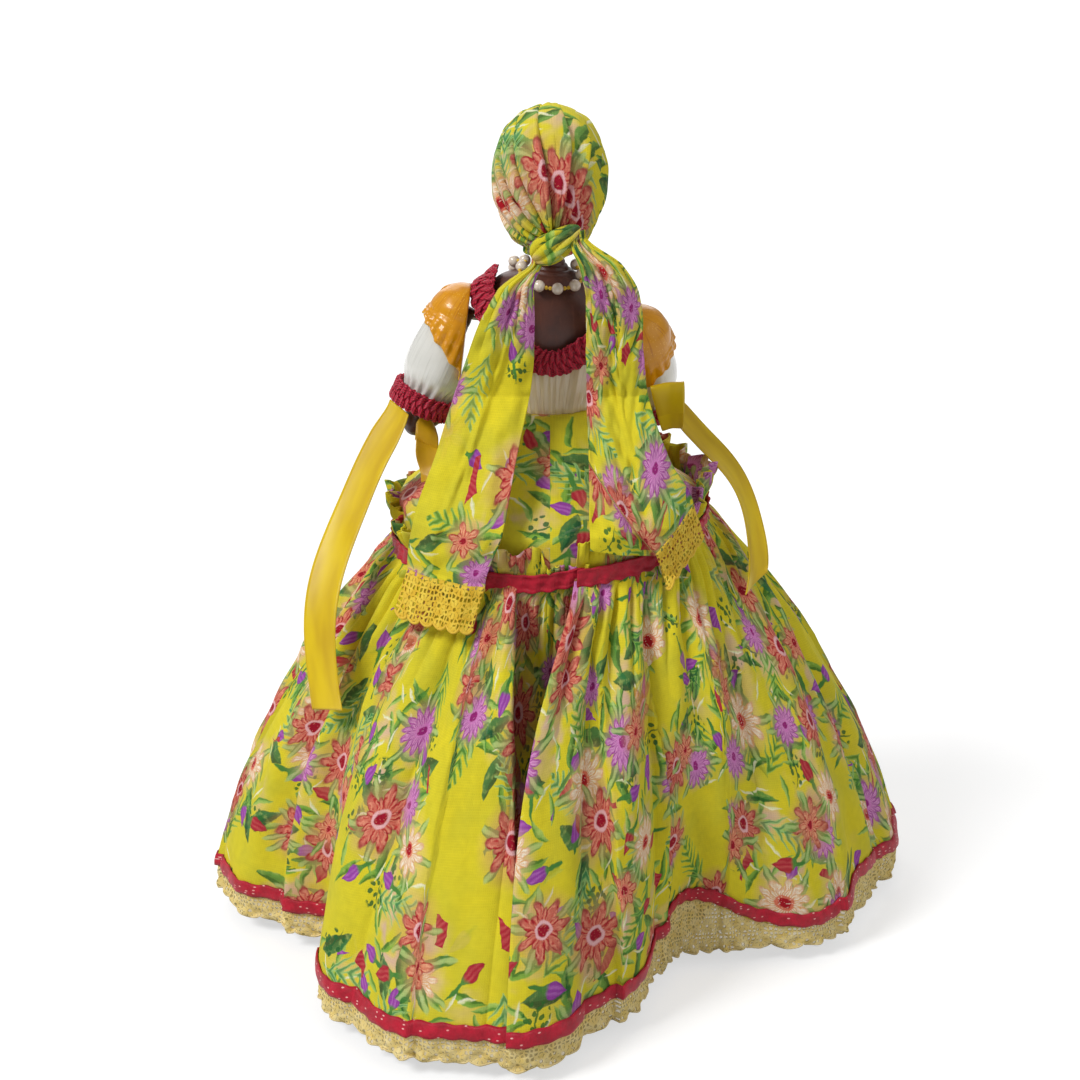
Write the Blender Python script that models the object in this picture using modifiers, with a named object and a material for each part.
"""Folk doll in a gathered floral dress and headscarf, built as separate sub-parts.

The doll faces -Y and its left hand is at +X. Lengths are metres. The origin is the middle of the
underside of the cardboard base disc. Angles round the doll start at its back (+Y) and grow towards
its right (-X). Every piece that touches another keeps the same small clearance to it.
"""

import math

import bmesh
import bpy
import numpy as np
from mathutils import Matrix, Vector

# Clearances, cloth and mesh resolution
gap = 0.0003
running_clearance = 0.0001
cloth_thickness = 0.0008
ribbon_thickness = 0.0006
weld_distance = 0.00001
overrun = 0.002

# Stand: base disc, hollow cone and dowel
base_radius = 0.062
base_thickness = 0.003
hip_radius = 0.0530
hip_bottom_height = 0.138
hip_top_height = 0.161
waist_radius = 0.0163
waist_height = 0.193
cone_wall = 0.0020
yoke_hollow_share = 0.62
yoke_rows = 5
yoke_seat = 0.0004
dowel_radius = 0.00175
dowel_grip = 0.016

# Skirt cloth: ring, flare and folds
ring_height = 0.1515
ring_back_drop = 0.0045
ring_left_drop = 0.0050
heading_height = 0.0125
heading_lean = 0.0030
hem_height = 0.0150
hem_radius = 0.1250
skirt_straight_share = 0.38
fold_growth_share = 0.8
gather_count = 22
gather_depth = 0.0020
ring_gather_depth = 0.0004
ring_radius = hip_radius + yoke_seat + gap + 1.5 * cloth_thickness + ring_gather_depth
skirt_columns = 88
skirt_row_shares = (-1, 0, 0.22, 0.47, 0.72, 0.94, 1)
lap_depth = 0.0060
opening_left_top = math.radians(-10)
opening_left_hem = math.radians(3)
opening_right_top = math.radians(9)
opening_right_hem = math.radians(-6)
lap_share = 0.10
fold_angles = (-180, -155, -130, -112, -95, -80, -67, -55, -37, -25, -12, 0, 11, 23, 35, 44, 60, 77, 92, 111, 130,
               148, 164)
fold_shares = (1.0, 0.80, 1.02, 0.82, 0.98, 0.96, 0.84, 0.72, 1.0, 1.06, 1.08, 1.04, 0.86, 0.71, 0.60, 0.63, 0.86,
               0.93, 1.04, 1.10, 0.84, 1.0, 0.80)

# Trims of the skirt
waist_ribbon_height = 0.0075
hem_ribbon_height = 0.0060
hem_ribbon_lift = 0.0010
hem_ribbon_seat = 0.0009
lace_scallop = 0.0015

# Bust
torso_height = 0.0552
shoulder_half_width = 0.0235
chest_half_depth = 0.0152
neck_radius = 0.0052
shoulder_roll = math.radians(7)
torso_level_shares = (0, 0.21, 0.445, 0.625, 0.77, 0.85, 0.895, 0.94, 1)
torso_width_shares = (0.58, 0.71, 0.88, 1.0, 0.87, 0.61, 0.33)
torso_depth_shares = (0.82, 0.94, 1.0, 0.96, 0.82, 0.64, 0.48)
torso_roll_shares = (0, 0.2, 0.6, 1, 1, 0.9, 0.5, 0.1, 0)
blouse_bottom_share = 0.02
neckline_back_share = 0.36
neckline_side_share = 0.75
neckline_narrow_share = 0.20
slope_step = 0.03
blouse_seat = 0.0007

# Gimp braid and necklace
braid_width = 0.0100
braid_thickness = 0.0026
braid_seat = 0.0007
pearl_radius = 0.0021
pearl_spacing = 0.0059
thread_radius = 0.0006
necklace_back_share = 0.80
necklace_side_share = 0.92
necklace_front_drop_share = 0.05
necklace_clearance = 0.0006
necklace_steps = 60

# Head, wrap and knot
head_half_width = 0.0180
head_half_depth = 0.0200
head_half_height = 0.0245
head_taper_share = 0.12
wrap_pleat_depth = 0.0007
wrap_pleats = 14
brow_height_share = 0.42
nape_height_share = -0.86
face_half_angle = math.radians(62)
knot_half_width = 0.0095
knot_half_depth = 0.0050
knot_half_height = 0.0060
knot_height_share = -0.70
knot_offset = 0.0010
knot_seat = 0.0010

# Scarf tails: heights of each row, then the inner and outer edges of the cloth, measured from the middle
tail_back_reach = 0.0262
tail_shoulder_height = 0.2040
tail_lie_height = 0.1640
tail_clearance = 0.0030
tail_pleats = 2
tail_pleat_depth = 0.0011
tail_nape_height = 0.2430
tail_nape_reach = 0.0244
tail_level_shares = (0, 0.22, 0.45, 0.62, 0.80, 1)
left_tail_rise = -0.0020
left_tail_bottom_height = 0.1450
left_tail_widest = 0.0500
left_tail_inner_shares = (0.12, 0.12, 0.13, 0.22, 0.32, 0.44)
left_tail_outer_shares = (0.26, 0.49, 0.65, 0.77, 0.93, 0.985)
left_tail_corner_share = 0.5
left_tail_inner_rise = 0
left_tail_outer_rise = 0
right_tail_rise = 0.0050
right_tail_bottom_height = 0.1545
right_tail_widest = 0.0500
right_tail_inner_shares = (0.16, 0.24, 0.26, 0.255, 0.255, 0.27)
right_tail_outer_shares = (0.38, 0.60, 0.65, 0.68, 0.79, 0.985)
right_tail_corner_share = 0.625
right_tail_inner_rise = 0.0050
right_tail_outer_rise = 0.0130
tail_lace_height = 0.0125
tail_lace_lean = 0.0040
tail_lace_scallop = 0.0015
tail_lace_thickness = 0.0006

# Arms, hung on one wire through the shoulders
shoulder_axis_height = 0.2220
shoulder_distance = 0.0313
arm_trim_distance = 0.0296
wire_radius = 0.0008
wire_end_reach = 0.0022
limb_radius = 0.0038
limb_top_share = 0.7
elbow_curve_shares = (0.25, 0.5, 0.75)
wrist_inset_share = 0.8
wrist_radius = 0.0026
elbow_room = 0.0012
hand_half_length = 0.0075
hand_half_width = 0.0045
hand_half_depth = 0.0028
thumb_length = 0.0070
thumb_radius = 0.0013
left_arm_outward = math.radians(25)
left_arm_forward = math.radians(0)
right_arm_outward = math.radians(8)
right_arm_forward = math.radians(35)
left_hand_inset = 0.0100
left_hand_reach = 0.0560
left_hand_drop = 0.0380
right_hand_inset = 0.0080
right_hand_reach = 0.0600
right_hand_drop = 0.0280
sleeve_top_radius = 0.0085
sleeve_puff_radius = 0.0126
sleeve_cuff_radius = 0.0094
sleeve_top = 0.0070
sleeve_top_share = 0.75
sleeve_level_shares = (0.28, 0.48, 0.64)
sleeve_width_shares = (0.95, 1, 0.95)
sleeve_length = 0.0370
cap_radius = 0.0115
cap_flare = 0.0035
cap_outer_drop = 0.0040
cap_inner_drop = 0.0200
cap_scallop = 0.0010
cap_scallops = 8
cap_flare_share = 0.7
cuff_height = 0.0080
cuff_edge_share = 0.6

# Satin ribbons at the cuffs
ribbon_width = 0.0145
ribbon_rim_share = 0.85
ribbon_drop = 0.0006
streamer_clearance = 0.0058
left_streamer_rim_angle = math.radians(-45)
left_streamer_end_angle = math.radians(-57)
left_streamer_face_angle = math.radians(-40)
left_streamer_end_height = 0.0970
left_streamer_end_radius = 0.0925
right_streamer_rim_angle = math.radians(84)
right_streamer_end_angle = math.radians(68)
right_streamer_face_angle = math.radians(60)
right_streamer_end_height = 0.1360
right_streamer_end_radius = 0.0770
inner_tail_rim_angle = math.radians(30)
inner_tail_end_angle = math.radians(-64)
inner_tail_face_angle = math.radians(-30)
inner_tail_end_radius = 0.0460
inner_tail_end_height = 0.1720
inner_tail_width = 0.0080
loop_half_height = 0.0120
loop_half_depth = 0.0035
loop_width = 0.0120
loop_shift = 0.0080
loop_lift = 0.0170

# Colours (linear red, green, blue), roughness and metallic value of each finish
finishes = {
    "cardboard": ((0.42, 0.30, 0.18), 0.8, 0.0),
    "wood": ((0.55, 0.38, 0.20), 0.6, 0.0),
    "skin": ((0.09, 0.025, 0.012), 0.35, 0.0),
    "white_husk": ((0.75, 0.75, 0.70), 0.2, 0.0),
    "amber": ((0.70, 0.33, 0.02), 0.2, 0.0),
    "floral": ((0.60, 0.56, 0.03), 0.85, 0.0),
    "red_braid": ((0.38, 0.01, 0.03), 0.6, 0.0),
    "red_ribbon": ((0.45, 0.01, 0.04), 0.4, 0.0),
    "yellow_satin": ((0.75, 0.58, 0.01), 0.3, 0.0),
    "cream_lace": ((0.60, 0.50, 0.22), 0.8, 0.0),
    "gold_lace": ((0.75, 0.48, 0.05), 0.8, 0.0),
    "pearl": ((0.75, 0.70, 0.58), 0.2, 0.0),
    "wire": ((0.45, 0.45, 0.45), 0.35, 1.0),
}

collections = {}


def start_scene():
    """Empties the scene and makes one collection for the doll and one for the cutters."""
    for thing in list(bpy.data.objects):
        bpy.data.objects.remove(thing, do_unlink=True)
    for name in ("folk_doll", "cutters"):
        collections[name] = bpy.data.collections.new(name)
        bpy.context.scene.collection.children.link(collections[name])


def finish_material(finish):
    """Principled material of a named finish, made once."""
    found = bpy.data.materials.get(finish)
    if found:
        return found
    colour, roughness, metallic = finishes[finish]
    made = bpy.data.materials.new(finish)
    made.use_nodes = True
    shader = made.node_tree.nodes["Principled BSDF"]
    shader.inputs["Base Color"].default_value = (*colour, 1)
    shader.inputs["Roughness"].default_value = roughness
    shader.inputs["Metallic"].default_value = metallic
    made.diffuse_color = (*colour, 1)
    return made


def new_object(name, bm, finish=None, place=None):
    """Object from a bmesh: a doll part with a finish, or a cutter without one."""
    mesh = bpy.data.meshes.new(name)
    bm.to_mesh(mesh)
    bm.free()
    made = bpy.data.objects.new(name, mesh)
    if place:
        made.matrix_world = place
    if finish:
        mesh.materials.append(finish_material(finish))
        mesh.shade_smooth()
        collections["folk_doll"].objects.link(made)
    else:
        made.hide_render = True
        made.display_type = "WIRE"
        collections["cutters"].objects.link(made)
    return made


def cut(target, cutter, operation="DIFFERENCE"):
    """Exact Boolean of a part with another object."""
    step = target.modifiers.new(cutter.name, "BOOLEAN")
    step.operation = operation
    step.solver = "EXACT"
    step.object = cutter


def shaped_grid(columns, rows, shape, joined):
    """Grid whose shares u (across) and v (down), from 0 to 1, are placed by shape(u, v)."""
    bm = bmesh.new()
    bmesh.ops.create_grid(bm, x_segments=columns, y_segments=rows, size=1)
    reach = max(vert.co.x for vert in bm.verts)
    for vert in bm.verts:
        vert.co = shape((vert.co.x / reach + 1) / 2, (1 - vert.co.y / reach) / 2)
    if joined:
        bmesh.ops.remove_doubles(bm, verts=bm.verts, dist=weld_distance)
    bmesh.ops.recalc_face_normals(bm, faces=bm.faces)
    return bm


def cloth(name, finish, columns, rows, thickness, shape, joined=False, place=None):
    """Sheet through a shaped grid, thickened to both sides."""
    made = new_object(name, shaped_grid(columns, rows, shape, joined), finish, place)
    solid = made.modifiers.new("thickness", "SOLIDIFY")
    solid.thickness = thickness
    solid.offset = 0
    return made


def filled_tube(name, finish, columns, rows, shape):
    """Solid whose skin is a grid joined round, with both ends filled."""
    bm = shaped_grid(columns, rows, shape, True)
    bmesh.ops.holes_fill(bm, edges=[edge for edge in bm.edges if edge.is_boundary])
    bmesh.ops.recalc_face_normals(bm, faces=bm.faces)
    return new_object(name, bm, finish)


def turned(name, finish, profile, steps, place=None):
    """Closed profile of (radius, height) pairs, outer side from top to bottom, turned about local Z."""
    bm = bmesh.new()
    corners = [bm.verts.new((radius, 0, height)) for radius, height in profile]
    for here, there in zip(corners, corners[1:] + corners[:1]):
        bm.edges.new((here, there))
    made = new_object(name, bm, finish, place)
    screw = made.modifiers.new("turn", "SCREW")
    screw.steps = steps
    screw.render_steps = steps
    screw.use_merge_vertices = True
    screw.merge_threshold = weld_distance
    made.data.shade_smooth()
    return made


def rod(name, finish, radius, start, end, sides=20):
    """Straight round rod between two points."""
    start, end = Vector(start), Vector(end)
    bm = bmesh.new()
    turn = (end - start).to_track_quat("Z", "Y").to_matrix().to_4x4()
    bmesh.ops.create_cone(bm, segments=sides, radius1=radius, radius2=radius, depth=(end - start).length,
                          cap_ends=True, matrix=Matrix.Translation((start + end) / 2) @ turn)
    return new_object(name, bm, finish)


def ellipsoid(bm, centre, half_sizes, columns=16, rows=10, turn=None):
    """Adds a scaled sphere to a bmesh and returns its vertices."""
    matrix = Matrix.Translation(centre) @ (turn or Matrix()) @ Matrix.Diagonal((*half_sizes, 1))
    return bmesh.ops.create_uvsphere(bm, u_segments=columns, v_segments=rows, radius=1, matrix=matrix)["verts"]


def blend(share):
    """Smooth step from 0 to 1."""
    share = min(max(share, 0), 1)
    return share * share * (3 - 2 * share)


def round_point(angle, radius, height):
    """Point at an angle from the back of the doll, growing towards its right."""
    return Vector((-radius * math.sin(angle), radius * math.cos(angle), height))


def yoke_radius(height):
    """Outer radius of the cone under the yoke: a hollow slope from the waist, then the upright hip band."""
    share = (waist_height - height) / (waist_height - hip_top_height)
    if share >= 1:
        return hip_radius
    slope = yoke_hollow_share * share + (1 - yoke_hollow_share) * share * share
    return waist_radius + (hip_radius - waist_radius) * slope


def cone_skin(height, offset):
    """Radius and height of a point at an offset, square to the cone's upper skin."""
    step = overrun
    run = yoke_radius(height - step) - yoke_radius(min(height + step, waist_height))
    rise = min(height + step, waist_height) - (height - step)
    length = math.hypot(run, rise)
    return yoke_radius(height) + offset * rise / length, height + offset * run / length


def ring_z(angle):
    """Height of the waist ribbon's middle, which hangs lower at the back and at the doll's left."""
    return ring_height - ring_back_drop * math.cos(angle) + ring_left_drop * math.sin(angle)


def fold_share(angle):
    """Radius of the hem at an angle, as a share of the hem radius, eased between the chosen folds."""
    degrees = (math.degrees(angle) + 180) % 360 - 180
    angles = fold_angles + (fold_angles[0] + 360,)
    shares = fold_shares + (fold_shares[0],)
    for here, there, low, high in zip(angles, angles[1:], shares, shares[1:]):
        if here <= degrees <= there:
            return low + (high - low) * blend((degrees - here) / (there - here))
    return shares[0]


def flare(drop):
    """Share of the skirt's flare reached at a drop: part quarter sine, part straight."""
    drop = min(max(drop, 0), 1)
    return (1 - skirt_straight_share) * math.sin(math.pi / 2 * drop) + skirt_straight_share * drop


def skirt_radius(angle, drop):
    """Radius of the skirt's middle surface; drop is 0 at the ribbon and 1 at the hem."""
    drop = min(max(drop, 0), 1)
    smooth = ring_radius + (hem_radius - ring_radius) * flare(drop)
    return smooth * (1 + (fold_share(angle) - 1) * drop ** fold_growth_share)


def skirt_drop(height, angle):
    """Share of the way from the ribbon to the hem at a height."""
    top = ring_z(angle)
    return (top - height) / (top - hem_height)


def skirt_angle(u, drop):
    """Angle of the skirt panel's share u, from its right edge round the front to its left edge."""
    drop = min(max(drop, 0), 1)
    right = opening_right_top + (opening_right_hem - opening_right_top) * drop
    left = opening_left_top + (opening_left_hem - opening_left_top) * drop + 2 * math.pi
    return right + (left - right) * u


def skirt_point(u, drop, offset=0, height=None):
    """Point of the skirt panel, moved out by offset along the plan's normal."""

    def plan(share):
        angle = skirt_angle(share, drop)
        wave = math.cos(2 * math.pi * gather_count * share)
        depth = ring_gather_depth + (gather_depth - ring_gather_depth) * blend(4 * abs(drop))
        depth *= 1 - blend(drop)
        tuck = lap_depth * blend((share - 1 + lap_share) / lap_share) * blend(3 * drop)
        lean = heading_lean * max(-drop, 0)
        return round_point(angle, skirt_radius(angle, drop) + depth * wave + lean - tuck, 0)

    step = 1 / skirt_columns
    here = plan(u)
    along = plan(u + step) - plan(u - step)
    normal = Vector((-along.y, along.x, 0)).normalized()
    if normal.dot(here) < 0:
        normal = -normal
    here = here + offset * normal
    angle = skirt_angle(u, drop)
    if height is None and drop >= 0:
        height = ring_z(angle) + (hem_height - ring_z(angle)) * drop
    elif height is None:
        height = ring_z(angle) - heading_height * drop
    return Vector((here.x, here.y, height))


def yoke_heights():
    """Heights of the rows on the cone's upper slope."""
    return [waist_height + (hip_top_height - waist_height) * row / yoke_rows for row in range(yoke_rows + 1)]


def build_stand():
    """Cardboard base disc, hollow cone with its hip band, and the wooden dowel that carries the doll."""
    half = base_thickness / 2
    rod("base_disc", "cardboard", base_radius, (0, 0, 0), (0, 0, base_thickness), sides=64)
    outer = [(yoke_radius(height), height) for height in yoke_heights()]
    outer += [(hip_radius, hip_bottom_height), (base_radius - half, base_thickness + gap)]
    inner = [(radius - cone_wall, height) for radius, height in reversed(outer)]
    inner[-1] = (inner[-1][0], waist_height - cone_wall)
    bore = dowel_radius + gap
    profile = outer + inner + [(bore, waist_height - cone_wall), (bore, waist_height)]
    turned("stand_cone", "cardboard", profile, 32)
    top = waist_height + 2 * gap + torso_height + dowel_grip
    dowel = rod("dowel", "wood", dowel_radius, (0, 0, base_thickness + gap), (0, 0, top))
    cut(dowel, shoulder_rod("dowel_wire_hole", None, wire_radius + gap, shoulder_distance))


def build_yoke():
    """Smooth floral yoke from the waist to the hip band, close over the cone."""
    heights = [*yoke_heights(), hip_bottom_height + gap]

    def shape(u, v):
        radius, height = cone_skin(heights[round(v * (len(heights) - 1))], yoke_seat + cloth_thickness / 2)
        return round_point(2 * math.pi * u, radius, height)

    cloth("yoke", "floral", 32, len(heights) - 1, cloth_thickness, shape, joined=True)


def build_skirt():
    """Gathered skirt with its heading, opened at the back, and its ribbon and lace trims."""
    rows = len(skirt_row_shares) - 1
    cloth("skirt", "floral", skirt_columns, rows, cloth_thickness,
          lambda u, v: skirt_point(u, skirt_row_shares[round(v * rows)]))
    ribbon_radius = ring_radius + ring_gather_depth + (cloth_thickness + ribbon_thickness) / 2 + gap
    first = skirt_row_shares[2]

    def waist(u, v):
        angle = 2 * math.pi * u
        rise = waist_ribbon_height * (0.5 - v)
        spread = skirt_radius(angle, first) - ring_radius + gather_depth
        below = spread * max(skirt_drop(ring_z(angle) + rise, angle), 0) / first
        above = (heading_lean + gather_depth) * max(rise, 0) / heading_height
        return round_point(angle, ribbon_radius + below + above, ring_z(angle) + rise)

    cloth("waist_ribbon", "red_ribbon", 48, 2, ribbon_thickness, waist, joined=True)
    trim_offset = (cloth_thickness + ribbon_thickness) / 2 + hem_ribbon_seat

    def hem_band(u, v):
        low, high = skirt_point(u, 1, trim_offset), skirt_point(u, skirt_row_shares[-2], trim_offset)
        return low.lerp(high, (hem_ribbon_lift + hem_ribbon_height * v) / (high.z - low.z))

    cloth("hem_ribbon", "red_ribbon", skirt_columns, 1, ribbon_thickness, hem_band)

    def lace(u, v):
        scallop = lace_scallop * (round(u * skirt_columns) % 2)
        return skirt_point(u, 1, 0, (hem_height - gap) * (1 - v) + scallop * v)

    cloth("hem_lace", "cream_lace", skirt_columns, 1, cloth_thickness, lace)


def smooth_between(place, places, values):
    """Value at a place on the smooth curve through (place, value) pairs, level past both ends."""
    place = min(max(place, places[0]), places[-1])
    slopes = np.gradient(values, places)
    slopes[0] = slopes[-1] = 0
    after = min(max(int(np.searchsorted(places, place)), 1), len(places) - 1)
    before = after - 1
    span = places[after] - places[before]
    share = (place - places[before]) / span
    swing = (values[before] * (1 + 2 * share) + slopes[before] * span * share) * (1 - share) ** 2
    return swing + (values[after] * (3 - 2 * share) - slopes[after] * span * (1 - share)) * share ** 2


def torso_sizes(level):
    """Half width, half depth and roll share of the bust at a share of its height."""
    neck = [neck_radius, neck_radius]
    widths = [share * shoulder_half_width for share in torso_width_shares] + neck
    depths = [share * chest_half_depth for share in torso_depth_shares] + neck
    return [smooth_between(level, torso_level_shares, values) for values in (widths, depths, torso_roll_shares)]


def torso_point(angle, level, offset=0):
    """Point of the bust's skin at an angle and a share of its height, moved out square to it by offset."""

    def skin(turn, share):
        half_width, half_depth, roll = torso_sizes(share)
        x = -half_width * math.sin(turn)
        height = waist_height + gap + torso_height * share + roll * x * math.tan(shoulder_roll)
        return Vector((x, half_depth * math.cos(turn), height))

    round_about = skin(angle + slope_step, level) - skin(angle - slope_step, level)
    upward = skin(angle, level + slope_step) - skin(angle, level - slope_step)
    return skin(angle, level) + offset * round_about.cross(upward).normalized()


def neckline_level(angle):
    """Share of the bust's height where the neckline lies: low at back and front, high at the shoulders."""
    return neckline_back_share + (neckline_side_share - neckline_back_share) * math.sin(angle) ** 2


def build_bust():
    """Bust with its neck, the husk blouse round it, the neckline braid and the necklace."""
    torso = filled_tube("torso", "skin", 28, 15, lambda u, v: torso_point(2 * math.pi * u, v))
    cut(torso, rod("dowel_bore", None, dowel_radius + gap, (0, 0, waist_height - overrun),
                   (0, 0, waist_height + torso_height + overrun)))
    cut(torso, shoulder_rod("wire_bore", None, wire_radius + gap, shoulder_distance))

    blouse_offset = blouse_seat + cloth_thickness / 2

    def blouse(u, v):
        angle = 2 * math.pi * u
        top = neckline_level(angle)
        return torso_point(angle, blouse_bottom_share + (top - blouse_bottom_share) * v, blouse_offset)

    made = cloth("blouse", "white_husk", 28, 9, cloth_thickness, blouse, joined=True)
    cut(made, shoulder_rod("blouse_wire_bore", None, wire_radius + gap, shoulder_distance))

    braid_offset = blouse_seat + cloth_thickness + braid_seat + braid_thickness / 2

    def braid(u, v):
        angle = 2 * math.pi * u
        span = braid_width / torso_height * (1 - neckline_narrow_share * math.sin(angle) ** 2)
        return torso_point(angle, neckline_level(angle) + span * (0.5 - v), braid_offset)

    cloth("neckline_braid", "red_braid", 28, 3, braid_thickness, braid, joined=True)
    build_necklace()


def build_necklace():
    """Pearls on a thread round the base of the neck, one tube that swells at each pearl."""
    away = pearl_radius + necklace_clearance

    def place(share):
        angle = 2 * math.pi * share
        level = necklace_back_share + (necklace_side_share - necklace_back_share) * math.sin(angle) ** 2
        level -= necklace_front_drop_share * (1 - math.cos(angle)) / 2
        return torso_point(angle, level, away)

    around = sum((place((step + 1) / necklace_steps) - place(step / necklace_steps)).length
                 for step in range(necklace_steps))
    count = round(around / pearl_spacing)

    def tube(u, v):
        along = ((u * count) % 1 - 0.5) * around / count
        radius = max(thread_radius, math.sqrt(max(pearl_radius ** 2 - along ** 2, 0)))
        ahead = (place(u + 1 / necklace_steps) - place(u - 1 / necklace_steps)).normalized()
        side = ahead.cross(Vector((0, 0, 1))).normalized()
        turn = 2 * math.pi * v
        return place(u) + radius * (math.cos(turn) * side + math.sin(turn) * side.cross(ahead))

    new_object("necklace", shaped_grid(6 * count, 6, tube, True), "pearl")


def head_centre():
    """Middle of the head, standing just over the neck."""
    return Vector((0, 0, waist_height + 3 * gap + torso_height + head_half_height))


def head_point(direction, offset):
    """Point of the head's egg shape, moved out by offset along a unit direction."""
    taper = 1 + head_taper_share * direction.z
    return head_centre() + Vector((
        direction.x * (head_half_width * taper + offset),
        direction.y * (head_half_depth * taper + offset),
        direction.z * (head_half_height + offset),
    ))


def knot_centre():
    """Middle of the scarf's knot, just off the wrap at the nape."""
    reach = math.sqrt(1 - knot_height_share ** 2)
    behind = head_point(Vector((0, reach, knot_height_share)), 2 * gap + cloth_thickness + wrap_pleat_depth)
    return behind + Vector((-knot_offset, knot_half_depth + knot_seat, 0))


def build_head():
    """Head on the dowel, the pleated headwrap with its face opening, and the knot at the nape."""
    bm = bmesh.new()
    for vert in bmesh.ops.create_uvsphere(bm, u_segments=24, v_segments=14, radius=1)["verts"]:
        vert.co = head_point(vert.co.normalized(), 0)
    head = new_object("head", bm, "skin")
    bottom = waist_height + torso_height
    cut(head, rod("head_bore", None, dowel_radius + running_clearance, (0, 0, bottom),
                  (0, 0, bottom + 2 * gap + dowel_grip + overrun)))

    bm = bmesh.new()
    verts = bmesh.ops.create_uvsphere(bm, u_segments=30, v_segments=16, radius=1)["verts"]
    face = [vert for vert in verts if in_face(vert.co)]
    bmesh.ops.delete(bm, geom=face, context="VERTS")
    for vert in bm.verts:
        direction = vert.co.normalized()
        turn = math.atan2(direction.x, direction.z)
        pleat = wrap_pleat_depth * (1 + math.cos(wrap_pleats * turn)) / 2 * blend(2 * direction.y)
        vert.co = head_point(direction, gap + cloth_thickness / 2 + pleat)
    wrap = new_object("headwrap", bm, "floral")
    solid = wrap.modifiers.new("thickness", "SOLIDIFY")
    solid.thickness = cloth_thickness
    solid.offset = 0

    bm = bmesh.new()
    ellipsoid(bm, knot_centre(), (knot_half_width, knot_half_depth, knot_half_height), 18, 10)
    new_object("scarf_knot", bm, "floral")


def in_face(direction):
    """True where the unit sphere is left open, for the face and under the nape for the neck."""
    turn = abs(math.atan2(direction.x, -direction.y))
    face = direction.y < 0 and turn < face_half_angle and direction.z < brow_height_share
    return face or direction.z < nape_height_share


def skirt_outside(height):
    """Radius that clears the skirt, its heading and its ribbon at a height, over every fold."""
    drop = (ring_height - height) / (ring_height - hem_height)
    heading = ring_radius + heading_lean + gather_depth
    return max(heading, ring_radius + (hem_radius - ring_radius) * flare(drop) + gather_depth)


def skirt_near(angle, height, width):
    """Radius that clears the skirt at a height, over the folds that a strip of a width covers."""
    heading = ring_radius + heading_lean + gather_depth
    spread = width / 2 / heading
    reach = [skirt_radius(turn, skirt_drop(height, turn)) for turn in (angle - spread, angle, angle + spread)]
    return max(heading, max(reach) + gather_depth)


def tail_surface(x, height):
    """Point on the surface where the scarf tails hang: down the back, then over the skirt's heading."""
    lying = skirt_outside(height) + tail_clearance
    low = math.sqrt(max(lying ** 2 - x ** 2, 0))
    if height <= tail_lie_height:
        return Vector((x, low, height))
    top = skirt_outside(tail_lie_height) + tail_clearance
    low = math.sqrt(max(top ** 2 - x ** 2, 0))
    share = (height - tail_lie_height) / (tail_shoulder_height - tail_lie_height)
    nape = blend((height - tail_nape_height) / (knot_centre().z + left_tail_rise - tail_nape_height))
    back = tail_back_reach + (tail_nape_reach - tail_back_reach) * nape
    return Vector((x, low + (back - low) * min(share, 1), height))


def build_tail(side, sign, widest, inner_shares, outer_shares, rise, bottom, corner_share, end_rises):
    """One scarf tail with lengthwise pleats, and the lace sewn to its lower edge from its corner outwards."""
    top = knot_centre().z + rise
    inner_rise, outer_rise = end_rises

    def tail_point(u, v, lean=0, drop=0):
        inner = sign * widest * np.interp(v, tail_level_shares, inner_shares)
        outer = sign * widest * np.interp(v, tail_level_shares, outer_shares)
        end = bottom + np.interp(u, (0, corner_share, 1), (inner_rise, 0, outer_rise))
        point = tail_surface(inner + (outer - inner) * u + sign * lean, top + (end - top) * v - drop)
        return point + Vector((0, tail_pleat_depth * (1 - math.cos(2 * math.pi * tail_pleats * u)), 0))

    cloth(f"scarf_tail_{side}", "floral", 8, 12, cloth_thickness, tail_point)
    start = corner_share if inner_rise else 0

    def lace(u, v):
        scallop = tail_lace_scallop * (round(u * 10) % 2) * v
        return tail_point(start + (1 - start) * u, 1, tail_lace_lean * v, gap + (tail_lace_height - scallop) * v)

    cloth(f"tail_lace_{side}", "gold_lace", 10, 3, tail_lace_thickness, lace)


def shoulder_direction():
    """Direction of the shoulder wire, from the doll's middle to its left."""
    return Vector((math.cos(shoulder_roll), 0, math.sin(shoulder_roll)))


def shoulder_rod(name, finish, radius, reach):
    """Rod along the shoulder wire's line, to both sides of the middle."""
    middle = Vector((0, 0, shoulder_axis_height))
    return rod(name, finish, radius, middle - reach * shoulder_direction(),
               middle + reach * shoulder_direction())


def shoulder(sign):
    """Pivot of one arm on the wire."""
    return Vector((0, 0, shoulder_axis_height)) + sign * shoulder_distance * shoulder_direction()


def arm_place(sign, outward, forward):
    """Placement of an upper arm: origin at its pivot, local -Z down the arm, local +X to the doll's left."""
    turn = Matrix.Rotation(-sign * outward, 4, "Y") @ Matrix.Rotation(-forward, 4, "X")
    return Matrix.Translation(shoulder(sign)) @ turn


def trim_block(sign, side):
    """Cutter that keeps everything on an arm clear of the bust, square to the wire."""
    size = 4 * sleeve_length
    centre = (sign * (arm_trim_distance - size / 2)) * shoulder_direction()
    bm = bmesh.new()
    bmesh.ops.create_cube(bm, size=size, matrix=Matrix.Translation(
        Vector((0, 0, shoulder_axis_height)) + centre) @ Matrix.Rotation(-shoulder_roll, 4, "Y"))
    return new_object(f"arm_trim_{side}", bm)


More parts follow.
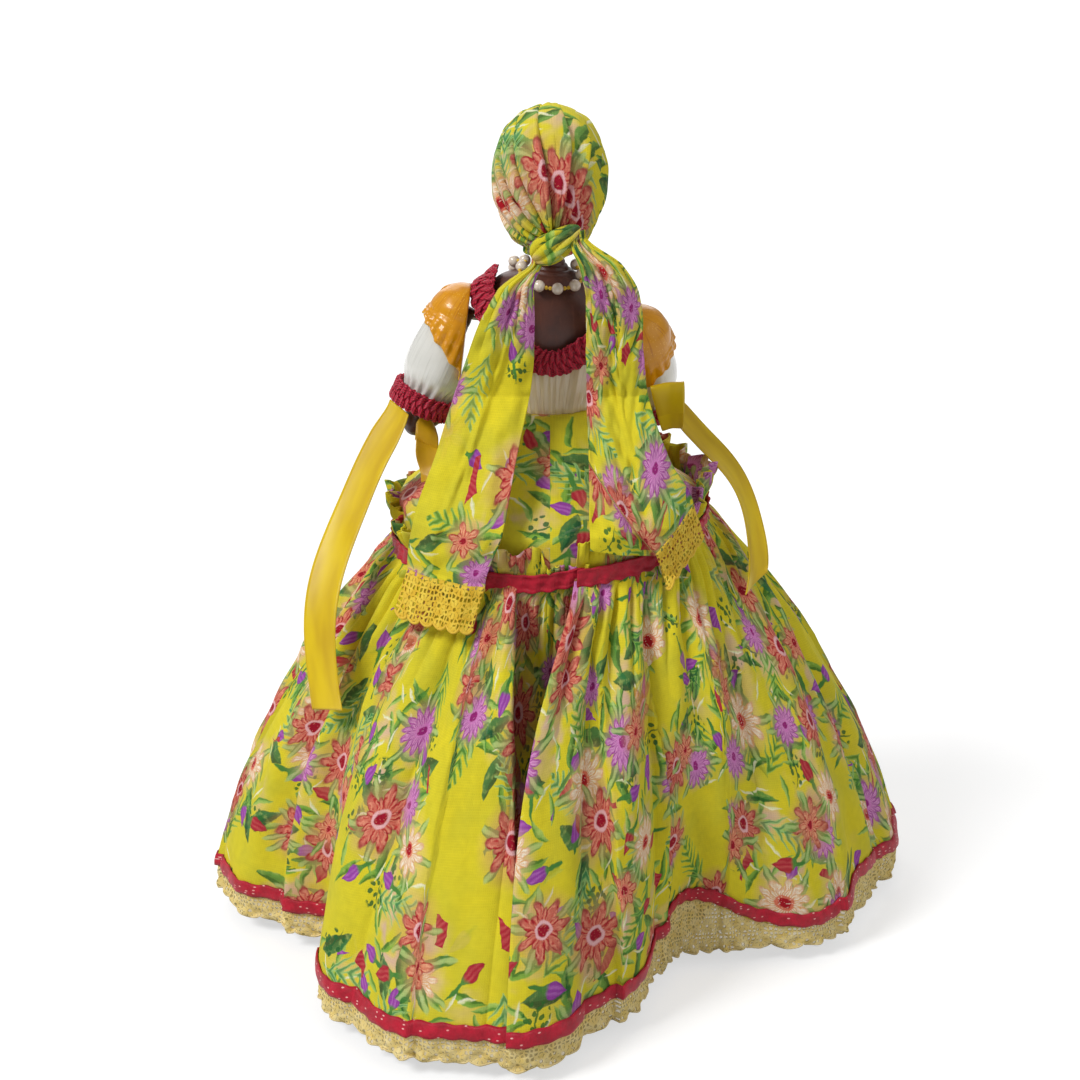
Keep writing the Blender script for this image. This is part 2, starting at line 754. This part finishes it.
def build_limb(side, place, hand_offset):
    """Wrapped arm from the shoulder to the wrist, with a plain mitten hand, one body."""
    to_local = place.inverted()
    hand = to_local @ (place.translation + hand_offset)
    bend = limb_radius * 2
    elbow = Vector((0, 0, -sleeve_length - elbow_room - bend))
    curve = bpy.data.curves.new(f"arm_{side}", "CURVE")
    curve.dimensions = "3D"
    curve.bevel_depth = 1
    curve.bevel_resolution = 3
    curve.use_fill_caps = True
    spline = curve.splines.new("POLY")
    fore = (hand - elbow).normalized()
    wrist = hand - fore * hand_half_length * wrist_inset_share
    route = [(Vector((0, 0, limb_radius)), limb_radius * limb_top_share),
             (Vector((0, 0, limb_radius / 2)), limb_radius),
             (elbow + Vector((0, 0, bend)), limb_radius)]
    for share in elbow_curve_shares:
        inner = (elbow + Vector((0, 0, bend))) * (1 - share) ** 2 + elbow * 2 * share * (1 - share)
        route.append((inner + (elbow + fore * bend) * share ** 2, limb_radius))
    route += [(elbow + fore * bend, limb_radius), (wrist, wrist_radius)]
    spline.points.add(len(route) - 1)
    for point, (position, radius) in zip(spline.points, route):
        point.co = (*position, 1)
        point.radius = radius
    guide = bpy.data.objects.new(f"guide_{side}", curve)
    collections["cutters"].objects.link(guide)
    bpy.context.view_layer.update()
    mesh = bpy.data.meshes.new_from_object(guide.evaluated_get(bpy.context.evaluated_depsgraph_get()))
    bpy.data.objects.remove(guide, do_unlink=True)
    bm = bmesh.new()
    bm.from_mesh(mesh)
    bpy.data.meshes.remove(mesh)
    bmesh.ops.remove_doubles(bm, verts=bm.verts, dist=weld_distance)
    bmesh.ops.recalc_face_normals(bm, faces=bm.faces)
    limb = new_object(f"arm_{side}", bm, "skin", place)
    turn = fore.to_track_quat("Y", "Z").to_matrix().to_4x4()
    bm = bmesh.new()
    ellipsoid(bm, hand, (hand_half_width, hand_half_length, hand_half_depth), 16, 10, turn)
    cut(limb, new_object(f"palm_{side}", bm, None, place), "UNION")
    inward = Vector((-1 if side == "left" else 1, 0, 0))
    bm = bmesh.new()
    thumb = hand - fore * thumb_length / 2 + inward * hand_half_width
    slant = (fore + inward).to_track_quat("Y", "Z").to_matrix().to_4x4()
    ellipsoid(bm, thumb, (thumb_radius, thumb_length / 2, thumb_radius), 10, 8, slant)
    cut(limb, new_object(f"thumb_{side}", bm, None, place), "UNION")
    return limb


def build_sleeve(side, sign, place, trim):
    """Puffed husk sleeve, its cap and its cuff braid, all hung on the upper arm."""
    bore = limb_radius + gap
    below = -sleeve_length
    cuff_top = below + cuff_height
    outer = [(sleeve_top_radius * sleeve_top_share, sleeve_top), (sleeve_top_radius, sleeve_top * sleeve_top_share),
             (cap_radius - cloth_thickness - 2 * gap, 0)]
    outer += [(sleeve_puff_radius * width, below * level)
              for level, width in zip(sleeve_level_shares, sleeve_width_shares)]
    outer += [(sleeve_cuff_radius, cuff_top), (sleeve_cuff_radius, below)]
    sleeve = turned(f"sleeve_{side}", "white_husk", outer + [(bore, below), (bore, sleeve_top)], 28, place)

    def cap(u, v):
        angle = 2 * math.pi * u
        inner_share = (1 - sign * math.cos(angle)) / 2
        bottom = -(cap_outer_drop + (cap_inner_drop - cap_outer_drop) * inner_share)
        bottom += cap_scallop * math.cos(cap_scallops * angle)
        if v < 0.5:
            polar = math.pi * v
            radius, height = cap_radius * math.sin(polar), cap_radius * math.cos(polar)
        else:
            height = bottom * (2 * v - 1)
            radius = cap_radius + cap_flare * min(height / -cap_inner_drop, 1) ** cap_flare_share
        return Vector((radius * math.cos(angle), radius * math.sin(angle), height))

    made = cloth(f"shoulder_cap_{side}", "amber", 4 * cap_scallops, 8, cloth_thickness, cap, True, place)
    seat = sleeve_cuff_radius + gap
    wall = [(seat + braid_thickness * cuff_edge_share, cuff_top - gap),
            (seat + braid_thickness, below + cuff_height / 2),
            (seat + braid_thickness * cuff_edge_share, below), (seat, below), (seat, cuff_top - gap)]
    turned(f"cuff_braid_{side}", "red_braid", wall, 28, place)
    for piece in (sleeve, made):
        cut(piece, trim)
    wire_way = shoulder_rod(f"wire_way_{side}", None, wire_radius + gap, shoulder_distance)
    cut(sleeve, wire_way)


def hanging_ribbon(name, width, place, rim_angle, end_angle, face_angle, end_radius, end_height, rows=14):
    """Ribbon from a cuff's rim that swings out to its end, outside the skirt, and turns to its face angle."""
    start = place @ round_point(rim_angle, sleeve_cuff_radius * ribbon_rim_share, -sleeve_length - ribbon_drop)
    start_side = place.to_3x3() @ tangent(rim_angle)
    start_angle = math.atan2(-start.x, start.y)
    start_radius = math.hypot(start.x, start.y)
    outside = end_radius > start_radius

    def shape(u, v):
        angle = start_angle + (end_angle - start_angle) * v
        height = start.z + (end_height - start.z) * v
        radius = start_radius + (end_radius - start_radius) * math.sin(math.pi / 2 * v)
        if height < tail_lie_height and outside:
            radius = max(radius, skirt_near(angle, height, width) + streamer_clearance)
        side = start_side.lerp(tangent(face_angle), v).normalized()
        return round_point(angle, radius, height) + side * width * (u - 0.5)

    return cloth(name, "yellow_satin", 2, rows, ribbon_thickness, shape)


def tangent(angle):
    """Level direction round the doll at an angle, towards its right."""
    return Vector((-math.cos(angle), -math.sin(angle), 0))


def build_arms():
    """Both arms on the wire, each with its sleeve, cap, cuff braid and satin ribbons."""
    shoulder_rod("arm_wire", "wire", wire_radius, shoulder_distance + wire_end_reach)
    for side, sign, outward, forward, hand in (
        ("left", 1, left_arm_outward, left_arm_forward,
         Vector((-left_hand_inset, -left_hand_reach, -left_hand_drop))),
        ("right", -1, right_arm_outward, right_arm_forward,
         Vector((right_hand_inset, -right_hand_reach, -right_hand_drop))),
    ):
        place = arm_place(sign, outward, forward)
        limb = build_limb(side, place, hand)
        bore = shoulder_rod(f"limb_bore_{side}", None, wire_radius + running_clearance,
                            shoulder_distance + wire_end_reach + gap)
        cut(limb, bore)
        build_sleeve(side, sign, place, trim_block(sign, side))
    build_ribbons()


def build_ribbons():
    """Long streamer and inner tail at the left cuff; streamer and bow loop at the right cuff."""
    left = arm_place(1, left_arm_outward, left_arm_forward)
    right = arm_place(-1, right_arm_outward, right_arm_forward)
    hanging_ribbon("streamer_left", ribbon_width, left, left_streamer_rim_angle, left_streamer_end_angle,
                   left_streamer_face_angle, left_streamer_end_radius, left_streamer_end_height)
    hanging_ribbon("inner_tail_left", inner_tail_width, left, inner_tail_rim_angle, inner_tail_end_angle,
                   inner_tail_face_angle, inner_tail_end_radius, inner_tail_end_height, rows=6)
    hanging_ribbon("streamer_right", ribbon_width, right, right_streamer_rim_angle, right_streamer_end_angle,
                   right_streamer_face_angle, right_streamer_end_radius, right_streamer_end_height)
    reach = max(sleeve_cuff_radius + braid_thickness + gap, sleeve_puff_radius)
    centre = Vector((-loop_shift, reach + gap + ribbon_thickness / 2 + loop_half_depth, loop_lift - sleeve_length))

    def loop(u, v):
        angle = 2 * math.pi * u
        return centre + Vector((loop_width * (v - 0.5), loop_half_depth * math.cos(angle),
                                loop_half_height * math.sin(angle)))

    cloth("bow_loop_right", "yellow_satin", 24, 2, ribbon_thickness, loop, True, right)


def main():
    start_scene()
    build_stand()
    build_yoke()
    build_skirt()
    build_bust()
    build_head()
    build_tail("left", 1, left_tail_widest, left_tail_inner_shares, left_tail_outer_shares, left_tail_rise,
               left_tail_bottom_height, left_tail_corner_share, (left_tail_inner_rise, left_tail_outer_rise))
    build_tail("right", -1, right_tail_widest, right_tail_inner_shares, right_tail_outer_shares, right_tail_rise,
               right_tail_bottom_height, right_tail_corner_share, (right_tail_inner_rise, right_tail_outer_rise))
    build_arms()


main()
